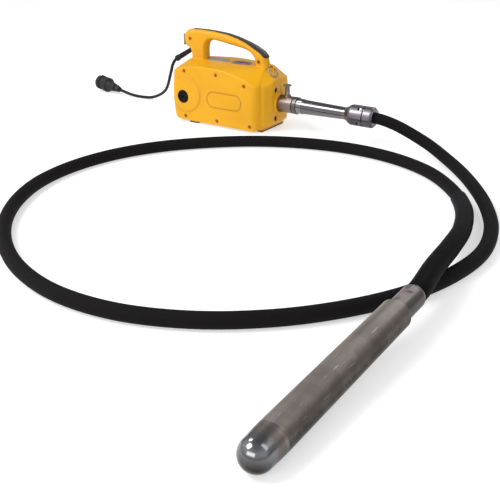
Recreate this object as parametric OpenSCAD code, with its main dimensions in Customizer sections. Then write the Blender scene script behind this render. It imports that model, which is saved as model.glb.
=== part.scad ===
// Electric concrete vibrator: hand-held motor, flexible shaft in a rubber hose, and steel poker.
// Millimetres, +Z up, +X along the drive line towards the shaft.
// Origin: on the floor under the middle of the motor's front foot.

/* [Motor housing] */
// Width of the motor housing
body_w = 180; // [176:1:184]
// Height of the flat ridge under the handle
ridge_z = 177; // [174:1:180]
// Thickness of the moulded walls
wall = 3.2; // [2.8:0.2:4]
// Width of the handle across the palm
handle_w = 38; // [36:1:42]

/* [Drive line] */
// Radius of the output socket
socket_r = 24; // [23:0.5:25]
// Length of the tapered coupling tube
tube_l = 155; // [150:1:160]
// Upward travel of the lock pin
pin_travel = 7; // [5:0.5:8]

/* [Armature] */
// Radius of the laminated armature
armature_r = 27; // [25:0.5:27.2]
// Number of armature slots
armature_slots = 12; // [8:1:16]
// Number of fan blades
fan_blades = 9; // [7:1:13]

/* [Hose and cord] */
// Outer diameter of the rubber hose
hose_d = 30; // [28:0.5:30]
// Diameter of the flexible steel core
core_d = 12; // [10:0.5:13]
// Diameter of the mains cord
cord_d = 9.5; // [8.5:0.25:9.5]

/* [Poker] */
// Outer diameter of the poker tube
poker_d = 52; // [50:0.5:52]
// Length from the rear shoulder to the centre of the round nose
poker_l = 378; // [370:2:390]
// Sideways offset of the rotor's heavy side
rotor_offset = 4; // [3:0.5:5]

/* [Hidden] */
$fn = 64;
eps = 0.01;

// Housing: rear and front faces, the arched side crest, the ridge, the feet
rear_x = -285;
front_x = 18;
floor_z = 6;
crest_x = -160;
crest_z = 171;
crest_r = 400;
ridge_half_w = 26;
ridge_rear = -263;
ridge_front = 3;
corner_r = 14;
front_corner_r = 22;
foot_l = 34;
rear_foot_x = -213;
rear_foot_w = 168;
front_foot_w = 120;
pad_h = 4;
snout_x = 38;

// Drive line
axis_z = 77;
socket_end = 86;
socket_bore = 18;
flange_x = 89;
tube_x = 100;
bell_x = tube_x + tube_l - 2;
bell_l = 56;
clamp_x = bell_x + bell_l + 3;
clamp_l = 27;
hose_mouth = clamp_x + clamp_l;
pin_x = 63;
seat_x = 14;
lock_bush_z = axis_z + socket_r - 5;
lock_bush_h = 20;
lock_bush_r = 7;

// Motor
shaft_r = 8.5;
brush_x = -244;
commutator_r = 20;
core_x = -210;
core_l = 80;
stator_r = 48;
stator_gap = 0.6;
fan_x = -106;
fan_r = 44;
bearing_front_x = -46;
bearing_rear_x = -272;
shaft_small_r = 6;
baffle_x = -115;
baffle_r = 60;

// Handle outline, from the rear foot of the grip over the top to the front leg
handle_outer = [
    [-268, 150], [-269, 190], [-273, 202], [-284, 209], [-291, 221], [-292.5, 233], [-291.5, 246],
    [-286, 256], [-272, 261], [-222, 261.5], [-180, 260], [-140, 256.5], [-104, 249.5], [-70, 240],
    [-42, 230], [-18, 218], [-8, 209], [-4, 200], [-1.5, 187], [2, 179], [9, 172], [12, 150]
];
handle_window = [
    [-214, 170], [-214, 210], [-210, 223], [-202, 231], [-189, 234.5], [-164, 231.8], [-139, 228],
    [-114, 224.5], [-89, 220.5], [-70, 216.5], [-57, 210.5], [-47, 201], [-42, 189], [-40, 170]
];
// Rounded section of the handle: half width and how far its outline is drawn in there
handle_slabs = [[6, 0.6], [10, 1.7], [13, 3], [16, 5.1], [handle_w / 2 - 0.8, 7.6]];
// Two lines of screws along the side, and one at each end of the handle
screw_points = [
    [-239, 153], [-125, 153], [-28, 133], [-238, 19], [-123, 19], [-8, 19], [-268, 233], [-25, 190]
];
screw_sink = 3.4;
casting_screw_y = -21;
casting_screw_z = 41;

// Hose along the floor: out of the coupling, once round, over itself and into the poker
hose_route = [
    [321, 0, 77], [347, 0, 77], [396, 0, 68], [450, -5, 51.5], [506, -21, 35], [564, -57, 21],
    [622, -114, 15], [692, -210, 15], [755, -316, 15], [804, -432, 15],
    [826, -555, 15], [812, -676, 15], [772, -790, 15], [708, -894, 15], [624, -986, 15],
    [520, -1060, 15], [400, -1106, 15], [274, -1114, 15], [152, -1084, 15], [42, -1024, 15],
    [-52, -942, 15], [-126, -842, 15], [-174, -730, 15], [-188, -608, 15], [-168, -484, 15],
    [-116, -372, 15], [-34, -272, 15], [70, -186, 15], [190, -128, 15], [318, -102, 15],
    [446, -114, 15], [562, -166, 15], [656, -256, 15.5], [722, -366, 20], [763, -490, 28],
    [785, -616, 42], [798, -736, 50.5], [809, -826, 51], [809, -846, 50], [808, -886, 47.5]
];
// Mains cord: down from the handle, along the floor and up into the plug
cord_route = [
    [-236, 0, 222], [-270, 0, 202], [-332, 0, 166], [-344, 1, 157], [-354, 2, 143],
    [-362, 5, 126], [-374, 11, 103], [-387, 19, 81], [-404, 30, 60], [-425, 41, 42],
    [-449, 51, 28], [-476, 59, 16], [-502, 63, 8], [-530, 64, 5], [-560, 62, 5],
    [-588, 60, 8], [-613, 60, 12.5], [-637, 62, 16.5], [-651, 64, 18]
];
hose_sides = 12;
core_sides = 8;
cord_sides = 10;
hose_bore_r = 9.5;
sleeve_r = 19;
sleeve_start = 0.42;
sleeve_first = 33;
sleeve_last = 38;

// Switch rocker pivot
switch_x = -288;
switch_z = 228;

// Strap ring: pivot, radius, wire radius and the way it lies on the ramp, slipped to one side
ring_x = 9;
ring_z = 178;
ring_r = 18;
ring_wire_r = 1.7;
ring_drop = 45;
ring_slip = 34;
ring_eye_r = 4.8;

// Boot on the mains cord
boot_x = -270;
boot_z = 202;
boot_tilt = 30.2;
boot_l = 75;

// Plug
plug_at = [-637, 62, 16.5];
plug_yaw = 171;
plug_tilt = 6.3;
plug_l = 104;
plug_r = 24.3;
plug_pin_r = 2.4;
plug_pin_wall = 18;
plug_pin_gap = 19;

// Poker
poker_at = [807, -911, 46];
poker_yaw = -92;
nose_r = 25;
poker_tilt = asin((poker_at[2] - nose_r) / poker_l);
nose_l = 33;
connector_l = 63.5;
poker_bore_r = 20.5;
bearing_seat_r = 20;
rotor_shaft_r = 8.5;

function unit(v) = v / norm(v);
function tangent(p, i) = unit(p[min(i + 1, len(p) - 1)] - p[max(i - 1, 0)]);
function side_of(t) = unit(cross([0, 0, 1], t));
function ring(p, i, r, sides) =
    let (t = tangent(p, i), s = side_of(t), u = cross(t, s))
    [for (k = [0:sides - 1]) p[i] + r * (cos(360 * k / sides) * s + sin(360 * k / sides) * u)];
function blend(a, b, f) = a + (b - a) * f;
function arch(x, inset) = crest_z - inset - crest_r + sqrt(crest_r * crest_r - pow(x - crest_x, 2));

// A solid tube with one ring at each point of a route
module swept(route, radii, sides) {
    n = len(route);
    points = [for (i = [0:n - 1]) for (p = ring(route, i, radii[i], sides)) p];
    skin = [for (i = [0:n - 2]) for (k = [0:sides - 1])
        let (a = i * sides + k, b = i * sides + (k + 1) % sides)
        for (f = [[a, b, b + sides], [a, b + sides, a + sides]]) f];
    first = [[for (k = [sides - 1:-1:0]) k]];
    last = [[for (k = [0:sides - 1]) (n - 1) * sides + k]];
    polyhedron(points, concat(skin, first, last), convexity = 12);
}

// A hollow tube with one outer and one inner ring at each point of a route
module swept_pipe(route, radii, bore_r, sides) {
    n = len(route);
    m = n * sides;
    outer = [for (i = [0:n - 1]) for (p = ring(route, i, radii[i], sides)) p];
    inner = [for (i = [0:n - 1]) for (p = ring(route, i, bore_r, sides)) p];
    skin = [for (i = [0:n - 2]) for (k = [0:sides - 1])
        let (a = i * sides + k, b = i * sides + (k + 1) % sides)
        for (f = [[a, b, b + sides], [a, b + sides, a + sides],
            [m + a, m + b + sides, m + b], [m + a, m + a + sides, m + b + sides]]) f];
    ends = [for (k = [0:sides - 1])
        let (b = (k + 1) % sides, e = (n - 1) * sides)
        for (f = [[k, m + k, m + b], [k, m + b, b],
            [e + k, e + b, m + e + b], [e + k, m + e + b, m + e + k]]) f];
    polyhedron(concat(outer, inner), concat(skin, ends), convexity = 12);
}

// Places children, drawn along Z, on the drive line at a distance x
module on_axis(x) {
    translate([x, 0, axis_z]) rotate([0, 90, 0]) children();
}

// Places children, drawn along Z, across the housing at (x, z)
module across(x, z) {
    translate([x, 0, z]) rotate([90, 0, 0]) children();
}

module pipe(outer_r, inner_r, length) {
    difference() {
        cylinder(r = outer_r, h = length);
        translate([0, 0, -1]) cylinder(r = inner_r, h = length + 2);
    }
}

// Plan of the body, with one corner radius at the rear and one at the front
module rounded_plan(x0, x1, half_w, rear_r, front_r) {
    translate([x0 + rear_r, -half_w]) square([x1 - x0 - rear_r - front_r, 2 * half_w]);
    translate([x0, -half_w + rear_r]) square([rear_r + 1, 2 * half_w - 2 * rear_r]);
    translate([x1 - front_r - 1, -half_w + front_r]) square([front_r + 1, 2 * half_w - 2 * front_r]);
    for (side = [-1, 1]) {
        translate([x0 + rear_r, side * (half_w - rear_r)]) circle(rear_r);
        translate([x1 - front_r, side * (half_w - front_r)]) circle(front_r);
    }
}

// Side outline of the housing with its arched crest
module side_outline(inset) {
    steps = 14;
    x0 = rear_x + inset;
    x1 = front_x - inset;
    z0 = floor_z + inset;
    crest_start = x0 + 9;
    polygon(concat(
        [[x1, z0 + 12], [x1 - 4, z0 + 4], [x1 - 12, z0], [x0 + 30, z0], [x0 + 17, z0 + 2],
            [x0 + 10, z0 + 9], [x0 + 5, z0 + 26], [x0 + 1, z0 + 50], [x0, 84], [x0 + 2, 114],
            [x0 + 5.5, 138]],
        [for (i = [0:steps]) let (x = crest_start + (x1 - crest_start) * i / steps) [x, arch(x, inset)]]
    ));
}

// The motor body as one closed form, shrunk by an inset for its hollow
module body_form(inset) {
    half = body_w / 2 - inset;
    intersection() {
        hull() {
            translate([0, half, 0]) rotate([90, 0, 0]) linear_extrude(2 * half) side_outline(inset);
            translate([ridge_rear + inset, -ridge_half_w, ridge_z - inset - 1])
                cube([ridge_front - ridge_rear - 2 * inset, 2 * ridge_half_w, 1]);
        }
        linear_extrude(300)
            rounded_plan(rear_x + inset, front_x - inset, half, corner_r - inset, front_corner_r - inset);
    }
}

// The raised nose that carries the output socket, with a ramp up to the handle
module snout_form(inset) {
    hull() {
        for (step = [[0, 6], [2.5, 2.4], [7, 0]])
            translate([snout_x - 1 - step[0] - inset, 0, 0]) rotate([90, 0, 90]) linear_extrude(1)
                for (y = [-30, 30], z = [34, 134]) translate([y, z]) circle(15 - step[1] - inset, $fn = 32);
        translate([0, -80 + inset, 14 + inset]) cube([4, 160 - 2 * inset, 128 - 2 * inset]);
        translate([24 - inset, 0, 0]) rotate([90, 0, 90]) linear_extrude(1)
            for (y = [-48, 48], z = [32, 124]) translate([y, z]) circle(18 - inset, $fn = 32);
        translate([-4, -ridge_half_w + inset, 100]) cube([6, 2 * ridge_half_w - 2 * inset, 76 - inset]);
    }
}

module handle_side(inset) {
    offset(delta = -inset) difference() {
        polygon(handle_outer);
        polygon(handle_window);
    }
}

module slab(shape_half_w) {
    translate([0, shape_half_w, 0]) rotate([90, 0, 0]) linear_extrude(2 * shape_half_w) children();
}

module handle_form() {
    for (layer = handle_slabs) slab(layer[0]) handle_side(layer[1]);
    // flat seat of the switch
    slab(13.5) intersection() {
        polygon(handle_outer);
        translate([-292, 209]) square([16, 37]);
    }
}

// Strip of the handle's top, from below its surface up to a height over its outline
module grip_strip(top) {
    intersection() {
        difference() {
            offset(delta = top) polygon(handle_outer);
            offset(delta = -5.4) polygon(handle_outer);
        }
        polygon([[-262, 300], [-262, 240], [-160, 240], [-60, 226], [-14, 206], [0, 199.5], [20, 196],
            [60, 300]]);
    }
}

// Crowned rubber insert, narrow at the rear and wide at the front
module grip_shape() {
    intersection() {
        for (layer = [[6, 1], [10, -0.1], [12.5, -1.4], [14.4, -2.8]]) slab(layer[0]) grip_strip(layer[1]);
        linear_extrude(300) polygon([[-262, -2.6], [-200, -4], [-140, -5.2], [-100, -6.6], [-66, -10.5],
            [-44, -14.4], [60, -14.4], [60, 14.4], [-44, 14.4], [-66, 10.5], [-100, 6.6], [-140, 5.2],
            [-200, 4], [-262, 2.6]]);
    }
}

// Outer form of both halves together
module housing_outside() {
    body_form(0);
    snout_form(0);
    handle_form();
    for (foot = [[0, front_foot_w], [rear_foot_x, rear_foot_w]])
        translate([foot[0] - foot_l / 2, -foot[1] / 2, pad_h]) cube([foot_l, foot[1], 10]);
    on_axis(snout_x - 4) cylinder(r = 32, h = 9);
    // eye of the strap ring
    slab(2) {
        translate([ring_x, ring_z]) circle(ring_eye_r + 2.8);
        translate([ring_x - ring_eye_r - 2.8, ring_z - 14]) square([2 * ring_eye_r + 5.6, 14]);
    }
    for (side = [-1, 1]) {
        // brush port boss
        intersection() {
            across(-235, 86) translate([0, 0, side > 0 ? -body_w / 2 - 2.2 : body_w / 2 - 6])
                cylinder(r = 53, h = 8.2);
            translate([0, 0, -1]) linear_extrude(300)
                rounded_plan(rear_x, front_x, body_w / 2 + 3, corner_r, corner_r);
            translate([rear_x, -150, floor_z + 10]) cube([300, 300, 140]);
        }
    }
}

// Hollow inside the body, the snout and the grip
module housing_inside() {
    body_form(wall);
    intersection() {
        snout_form(wall);
        translate([0, -100, 0]) cube([snout_x - wall, 200, 300]);
    }
    for (layer = [[10, 7.8], [14.5, 8.6]]) slab(layer[0]) intersection() {
        handle_side(layer[1]);
        translate([-300, 172]) square([340, 100]);
    }
    slab(13) translate([-262, 160]) square([34, 24]);
}

// Inner walls that hold the stator, the bearings, the brush holders and the baffle, and the screw posts
module housing_ribs() {
    intersection() {
        body_form(1);
        union() {
            for (x = [core_x + 6, core_x + core_l - 18])
                translate([x, -150, 0]) cube([4, 300, 300]);
            translate([baffle_x - 3, -150, 0]) cube([8, 300, 300]);
            on_axis(rear_x + 1) cylinder(r = 22, h = bearing_rear_x - rear_x + 10);
            for (side = [0, 180]) on_brush_axis(side) {
                translate([0, 0, 50]) cylinder(r = 15, h = body_w / 2 - 51);
                translate([0, 0, body_w / 2 - 9]) cylinder(r = 22, h = 8);
            }
            for (i = [0:5]) across(screw_points[i][0], screw_points[i][1])
                translate([0, 0, -body_w / 2 + 1]) cylinder(r = 7.4, h = body_w - 2);
        }
    }
    for (i = [6:7]) across(screw_points[i][0], screw_points[i][1])
        translate([0, 0, -handle_w / 2 + 2]) cylinder(r = 6.6, h = handle_w - 4);
    // pads between the snout face and the casting
    for (z = [-1, 1]) translate([seat_x + 10.5, casting_screw_y, axis_z + z * casting_screw_z])
        rotate([0, 90, 0]) cylinder(r = 10.5, h = snout_x - seat_x - 12);
}

module housing_cuts() {
    // stator seat, baffle seat and rear bearing seat
    on_axis(core_x) cylinder(r = stator_r, h = core_l);
    on_axis(baffle_x - 4) cylinder(r = baffle_r - 4, h = 10);
    on_axis(baffle_x) cylinder(r = baffle_r, h = 2.4);
    on_axis(bearing_rear_x) cylinder(r = 16, h = 20);
    on_axis(bearing_rear_x - 3) cylinder(r = 9.5, h = 30);
    // brush ports and the bores of the brush holders
    for (side = [0, 180]) on_brush_axis(side) {
        translate([0, 0, body_w / 2 - 4]) cylinder(r = 18.8, h = 10);
        translate([0, 0, 40]) cylinder(r = 11, h = 60);
    }
    // pill-shaped groove on each side
    for (side = [0, 1]) translate([-97.5, side * (body_w - 1.4) - body_w / 2 - 0.1, 80.5])
        rotate([-90, 0, 0]) difference() {
            oval(123, 48.5, 1.6);
            translate([0, 0, -1]) oval(116, 41.5, 4);
        }
    // opening for the output socket, and the casting's screws
    on_axis(0) cylinder(r = socket_r + 0.2, h = 60);
    for (z = [-1, 1]) translate([seat_x + 8, casting_screw_y, axis_z + z * casting_screw_z])
        rotate([0, 90, 0]) {
            cylinder(r = 2.4, h = 30);
            translate([0, 0, 7]) cylinder(r = 7.6, h = 20);
        }
    // switch pocket, boot opening and cord channel
    translate([-300, -11, 213.5]) cube([24.5, 22, 29]);
    translate([-300, -12.7, 211.7]) cube([8.5, 25.4, 32.6]);
    along_boot(-24) cylinder(r = 9.4, h = 21);
    along_boot(-4) cylinder(r = 7.2, h = 40);
    // hole in the eye of the strap ring
    across(ring_x, ring_z) translate([0, 0, -4]) cylinder(r = ring_eye_r, h = 8);
    // seats of the name plate and the air inlet
    translate([-179, 0, ridge_z - 1]) oval(74, 38, 4);
    translate([-95, 0, ridge_z - 1]) oval(62, 38, 4);
    translate([-95, 0, ridge_z - 6]) oval(52, 28, 8);
    // air outlet under the fan
    for (i = [0:5]) translate([fan_x + i * 7, -55, floor_z - 1]) cube([3.2, 110, 8]);
    grip_shape();
    for (p = screw_points) screw_cut(p);
}

// One screw hole: a shallow head pocket on the right and a bore into the left half
module screw_cut(p) {
    face = p[1] > 180 ? handle_w / 2 : body_w / 2;
    across(p[0], p[1]) {
        translate([0, 0, -10]) cylinder(r = 2.2, h = face + 12);
        translate([0, 0, face - screw_sink]) cylinder(r = 5.5, h = 20);
    }
}

module oval(l, w, h) {
    for (s = [-1, 1]) translate([s * (l - w) / 2, 0, 0]) cylinder(r = w / 2, h = h);
    translate([-(l - w) / 2, -w / 2, 0]) cube([l - w, w, h]);
}

module housing() {
    difference() {
        housing_outside();
        difference() {
            housing_inside();
            housing_ribs();
        }
        housing_cuts();
    }
}

// Right half, towards -Y: it carries the screw heads
module housing_right() {
    color("orange") intersection() {
        housing();
        translate([-400, -200, -10]) cube([600, 200, 400]);
    }
}

module housing_left() {
    color("orange") intersection() {
        housing();
        translate([-400, 0, -10]) cube([600, 200, 400]);
    }
}

module grip_insert() {
    color("dimgray") grip_shape();
}

module screw(length, head_r, head_h, body_r) {
    difference() {
        union() {
            cylinder(r = head_r, h = head_h);
            translate([0, 0, -length]) cylinder(r = body_r, h = length);
        }
        for (a = [0, 90]) rotate([0, 0, a]) translate([-2.6, -0.5, head_h - 1.2]) cube([5.2, 1, 2]);
    }
}

module housing_screws() {
    color("saddlebrown") for (p = screw_points) {
        face = p[1] > 180 ? handle_w / 2 : body_w / 2;
        across(p[0], p[1]) translate([0, 0, face - screw_sink])
            screw(p[1] > 180 ? 21 : 93, 5.2, 2.2, 2.2);
    }
}

module foot_pads() {
    color("dimgray") for (foot = [[0, front_foot_w], [rear_foot_x, rear_foot_w]])
        translate([foot[0] - foot_l / 2 + 2, -foot[1] / 2 + 2, 0]) cube([foot_l - 4, foot[1] - 4, pad_h]);
}

module name_plate() {
    color("silver") translate([-179, 0, ridge_z - 1]) oval(74, 38, 2.6);
}

module vent_grille() {
    color("slategray") translate([-95, 0, ridge_z - 1]) difference() {
        oval(62, 38, 2.6);
        for (i = [-3:3]) translate([i * 6.4 - 1.6, -12 + abs(i) * 1.1, -1])
            cube([3.2, 24 - abs(i) * 2.2, 6]);
    }
}

// Round steel ring for a shoulder strap, hung in the eye and lying on the ramp
module strap_ring() {
    color("silver") translate([ring_x, 0, ring_z]) rotate([0, ring_drop, 0]) rotate([0, 0, -ring_slip])
        translate([ring_r, 0, 0]) rotate_extrude() translate([ring_r, 0]) circle(ring_wire_r, $fn = 24);
}

// Switch body with its frame on the handle's rear face and its two terminals
module switch_module() {
    color("slategray") difference() {
        union() {
            translate([-291.8, -11, 213.5]) cube([16.3, 22, 29]);
            translate([-296, -12.5, 212]) cube([4.4, 25, 32]);
        }
        translate([-300, -9.4, 215.2]) cube([20, 18.8, 25.6]);
        across(switch_x, switch_z) translate([0, 0, -10.6]) cylinder(r = 1.55, h = 21.2);
    }
    color("slategray") for (z = [217, 221]) translate([-275.6, -3, z]) cube([5, 6, 0.8]);
}

// Two-position rocker on the rear of the handle, at rest in its off position
module switch_rocker() {
    color("gray") translate([switch_x, 0, switch_z]) rotate([0, 7, 0]) {
        rotate([90, 0, 0]) {
            translate([0, 0, -9]) cylinder(r = 3.6, h = 18);
            translate([0, 0, -10.4]) cylinder(r = 1.5, h = 20.8);
            translate([0, 0, -9]) linear_extrude(18)
                polygon([[1, -11], [1, 11], [-8.5, 11.6], [-6, 0], [-8.5, -11.6]]);
        }
    }
}

module along_boot(s) {
    translate([boot_x, 0, boot_z]) rotate([0, -90 - boot_tilt, 0]) translate([0, 0, s]) children();
}

// Rubber boot on the cord: an inner flange, a tapered stem and a thick rim at its mouth
module cord_boot() {
    color("black") along_boot(-9) difference() {
        union() {
            cylinder(r = 9.3, h = 5.8);
            cylinder(r = 7.1, h = 24);
            translate([0, 0, 24]) cylinder(r1 = 6.4, r2 = 7.6, h = boot_l - 26);
            for (i = [0:4]) translate([0, 0, 28 + i * 8]) cylinder(r = 7.2 + i * 0.2, h = 4);
            translate([0, 0, boot_l - 4]) cylinder(r1 = 7.6, r2 = 9.2, h = 4);
            translate([0, 0, boot_l]) cylinder(r = 9.2, h = 8);
        }
        translate([0, 0, -1]) cylinder(r = cord_d / 2 + 0.15, h = boot_l + 20);
    }
}

// Saddle over the cord inside the grip, with its two screws
module cord_clamp() {
    color("dimgray") along_boot(-32) difference() {
        translate([-8, -12, 0]) cube([16, 24, 7]);
        translate([0, 0, -1]) cylinder(r = cord_d / 2 + 0.1, h = 10);
        for (y = [-9, 9]) translate([-10, y, 3.5]) rotate([0, 90, 0]) cylinder(r = 1.5, h = 20);
    }
    color("silver") along_boot(-32) for (y = [-9, 9])
        translate([-8, y, 3.5]) rotate([0, 90, 0]) cylinder(r = 1.5, h = 17);
}

module mains_cord() {
    color("black") swept(cord_route, [for (p = cord_route) cord_d / 2], cord_sides);
}

module along_plug(s) {
    translate(plug_at) rotate([0, 90 - plug_tilt, plug_yaw]) translate([0, 0, s]) children();
}

// Heavy rubber plug: two thick ribs at the cord, a wide grip ring, a waist and a round front flange
module plug_body() {
    color("black") along_plug(0) difference() {
        union() {
            cylinder(r1 = 8.4, r2 = 9.6, h = 30);
            translate([0, 0, 4]) cylinder(r1 = 9.4, r2 = 11.6, h = 13);
            translate([0, 0, 24]) cylinder(r1 = 12.5, r2 = 15.6, h = 17);
            translate([0, 0, 40]) cylinder(r1 = 12.5, r2 = 20, h = 18);
            translate([0, 0, 56]) cylinder(r1 = plug_r - 2.5, r2 = plug_r, h = 4);
            translate([0, 0, 60]) cylinder(r = plug_r, h = 13);
            translate([0, 0, 73]) cylinder(r1 = plug_r - 2, r2 = 20.5, h = 8);
            translate([0, 0, 80]) cylinder(r = 20.5, h = 12);
            translate([0, 0, plug_l - 13]) cylinder(r1 = plug_r - 1.5, r2 = plug_r, h = 2);
            translate([0, 0, plug_l - 11]) cylinder(r = plug_r, h = 11);
        }
        translate([0, 0, -1]) cylinder(r = cord_d / 2 + 0.2, h = 18);
        for (y = [-1, 1]) translate([0, y * plug_pin_gap / 2, plug_l - 12])
            cylinder(r = plug_pin_r - 0.4, h = 20);
        for (a = [0, 180]) rotate([0, 0, a]) translate([plug_r - 3, -4, plug_l - 12]) cube([6, 8, 20]);
    }
}

// Two round pins, each on a thinner root that is moulded into the plug
module plug_pins() {
    color("silver") along_plug(plug_l) for (y = [-1, 1]) translate([0, y * plug_pin_gap / 2, 0]) {
        translate([0, 0, -12]) cylinder(r = plug_pin_r - 0.4, h = 13);
        translate([0, 0, 0.3]) cylinder(r = plug_pin_r, h = plug_pin_wall);
        translate([0, 0, 0.3 + plug_pin_wall]) cylinder(r1 = plug_pin_r, r2 = 1.4, h = 1);
    }
}

module on_brush_axis(side) {
    translate([brush_x, 0, axis_z]) rotate([90, 0, side]) children();
}

module brush_caps() {
    color("black") for (side = [0, 180]) on_brush_axis(side) difference() {
        union() {
            translate([0, 0, body_w / 2 - 4]) cylinder(r = 18.5, h = 7);
            translate([0, 0, body_w / 2 - 14]) cylinder(r = 8.4, h = 12);
        }
        translate([-12, -1.4, body_w / 2 + 0.6]) cube([24, 2.8, 4]);
    }
}

module brush_holders() {
    color("tan") for (side = [0, 180]) on_brush_axis(side) difference() {
        translate([0, 0, 26]) cylinder(r = 11, h = body_w / 2 - 30.2);
        translate([-4.2, -6.7, 20]) cube([8.4, 13.4, 40]);
        translate([0, 0, 55]) cylinder(r = 8.5, h = 40);
    }
}

module carbon_brushes() {
    color("dimgray") for (side = [0, 180]) on_brush_axis(side)
        translate([-4, -6.5, commutator_r + 0.6]) cube([8, 13, 26]);
}

module brush_springs() {
    color("silver") for (side = [0, 180]) on_brush_axis(side)
        for (i = [0:5]) translate([0, 0, 48 + i * 4.6]) rotate_extrude()
            translate([2.8, 0]) circle(0.5, $fn = 16);
}

// Laminated ring with two pole pieces
module stator_core() {
    color("slategray") on_axis(core_x) difference() {
        cylinder(r = stator_r, h = core_l);
        translate([0, 0, -1]) cylinder(r = armature_r + stator_gap, h = core_l + 2);
        for (side = [0, 180]) rotate([0, 0, side])
            translate([0, 0, -1]) linear_extrude(core_l + 2) coil_slot(0);
    }
}

// Slot beside the poles that one side of both coils fills
module coil_slot(gap) {
    intersection() {
        difference() {
            circle(38 - gap);
            circle(gap > 0 ? armature_r + 2 : armature_r - 1);
        }
        polygon([[0, 0], [60, -38 + gap], [60, 38 - gap]]);
    }
}

// Two field coils, each down one slot, round the pole and back up the other
module field_coils() {
    color("peru") on_axis(core_x) for (side = [0, 180]) rotate([0, 0, side]) {
        for (turn = [0, 180]) intersection() {
            rotate([0, 0, turn]) translate([0, 0, 0]) linear_extrude(core_l) coil_slot(0.4);
            translate([-60, 1, -1]) cube([120, 60, core_l + 2]);
        }
        for (z = [-12, core_l]) translate([0, 0, z]) intersection() {
            pipe(38, armature_r + 3, 12);
            translate([-60, 1, -1]) cube([120, 60, 20]);
        }
    }
}

// Plate in front of the stator that guides the air into the fan
module fan_baffle() {
    color("dimgray") on_axis(baffle_x) pipe(baffle_r, 38, 2.4);
}

module bearing(outer_r, inner_r, width) {
    race = (outer_r - inner_r) * 0.28;
    middle = (outer_r + inner_r) / 2;
    pipe(outer_r, outer_r - race, width);
    pipe(inner_r + race, inner_r, width);
    for (z = [0.6, width - 1.4]) translate([0, 0, z]) pipe(outer_r - race, inner_r + race, 0.8);
    for (a = [0:45:315]) rotate([0, 0, a]) translate([middle, 0, width / 2])
        sphere(r = min(width / 2 - 1.5, (outer_r - inner_r) * 0.22 - 0.1), $fn = 24);
}

module rear_bearing() {
    color("silver") on_axis(bearing_rear_x) bearing(16, shaft_small_r + 0.04, 10);
}

module front_bearing() {
    color("silver") on_axis(bearing_front_x) bearing(20, shaft_r + 0.04, 12);
}

// Cast bracket inside the snout: bearing seat, flange and output socket
module drive_casting() {
    color("silver") difference() {
        union() {
            on_axis(bearing_front_x - 5) cylinder(r = 25, h = 30);
            on_axis(-24) cylinder(r = 23.5, h = 50);
            translate([seat_x, -34, axis_z - 51]) cube([10.5, 68, 102]);
            on_axis(seat_x) cylinder(r = socket_r, h = socket_end - seat_x);
            translate([pin_x, 0, axis_z + socket_r - 6]) cylinder(r = 10.5, h = 9);
        }
        on_axis(bearing_front_x - 6) cylinder(r = 20, h = 18);
        on_axis(-40) cylinder(r = 15.5, h = 60);
        on_axis(-1) cylinder(r = socket_bore, h = 90);
        translate([pin_x, 0, axis_z + 10]) cylinder(r = lock_bush_r, h = 30);
        for (z = [-1, 1]) translate([seat_x - 2, casting_screw_y, axis_z + z * casting_screw_z])
            rotate([0, 90, 0]) cylinder(r = 2.4, h = 20);
    }
}

module casting_screws() {
    color("black") for (z = [-1, 1])
        translate([seat_x + 15, casting_screw_y, axis_z + z * casting_screw_z])
            rotate([0, 90, 0]) difference() {
                union() {
                    translate([0, 0, -14]) cylinder(r = 2.4, h = 14);
                    cylinder(r = 7.1, h = 6);
                }
                translate([0, 0, 2.6]) cylinder(r = 3.2, h = 5, $fn = 6);
            }
}

// Threaded guide of the lock pin, with the spring inside
module lock_bush() {
    color("silver") translate([pin_x, 0, lock_bush_z]) difference() {
        cylinder(r = lock_bush_r, h = lock_bush_h);
        translate([0, 0, -1]) cylinder(r = 4.9, h = lock_bush_h - 2);
        translate([0, 0, -1]) cylinder(r = 3.05, h = lock_bush_h + 2);
    }
}

// Lock pin with its collar, its sleeve and a flat round knob
module lock_pin() {
    sleeve_z = lock_bush_z + lock_bush_h + 0.5;
    color("gray") translate([pin_x, 0, 0]) {
        translate([0, 0, axis_z + 15]) cylinder(r = 3, h = 30);
        translate([0, 0, lock_bush_z + 0.5]) cylinder(r = 4.6, h = 2);
        translate([0, 0, sleeve_z]) cylinder(r = 6.6, h = 12);
        translate([0, 0, sleeve_z + 11.5]) cylinder(r1 = 6.6, r2 = 11.6, h = 2.5);
        translate([0, 0, sleeve_z + 14]) cylinder(r = 11.6, h = 2.4);
        translate([0, 0, sleeve_z + 16.4]) cylinder(r1 = 9.5, r2 = 5, h = 1);
    }
}

module lock_spring() {
    color("silver") for (i = [0:4])
        translate([pin_x, 0, lock_bush_z + 3.15 + i * 3.3]) rotate_extrude()
            translate([3.95, 0]) circle(0.5, $fn = 16);
}

module armature_shaft() {
    color("silver") {
        on_axis(bearing_rear_x - 2) cylinder(r = shaft_small_r, h = 14);
        on_axis(bearing_rear_x + 12) cylinder(r = shaft_r, h = bearing_front_x - bearing_rear_x);
        on_axis(bearing_front_x + 12) cylinder(r = 7.5, h = 16);
    }
}

module armature_core() {
    color("slategray") on_axis(core_x) difference() {
        cylinder(r = armature_r, h = core_l);
        translate([0, 0, -1]) cylinder(r = shaft_r, h = core_l + 2);
        for (k = [0:armature_slots - 1]) rotate([0, 0, 360 * k / armature_slots]) {
            translate([armature_r - 6, 0, -1]) cylinder(r = 3, h = core_l + 2);
            translate([armature_r - 6, -1, -1]) cube([8, 2, core_l + 2]);
        }
    }
}

module armature_winding() {
    color("peru") on_axis(core_x) for (z = [-16, core_l]) translate([0, 0, z]) rotate_extrude()
        polygon([[shaft_r, 0], [18, 0], [24, 4], [24, 12], [18, 16], [shaft_r, 16]]);
}

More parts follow.
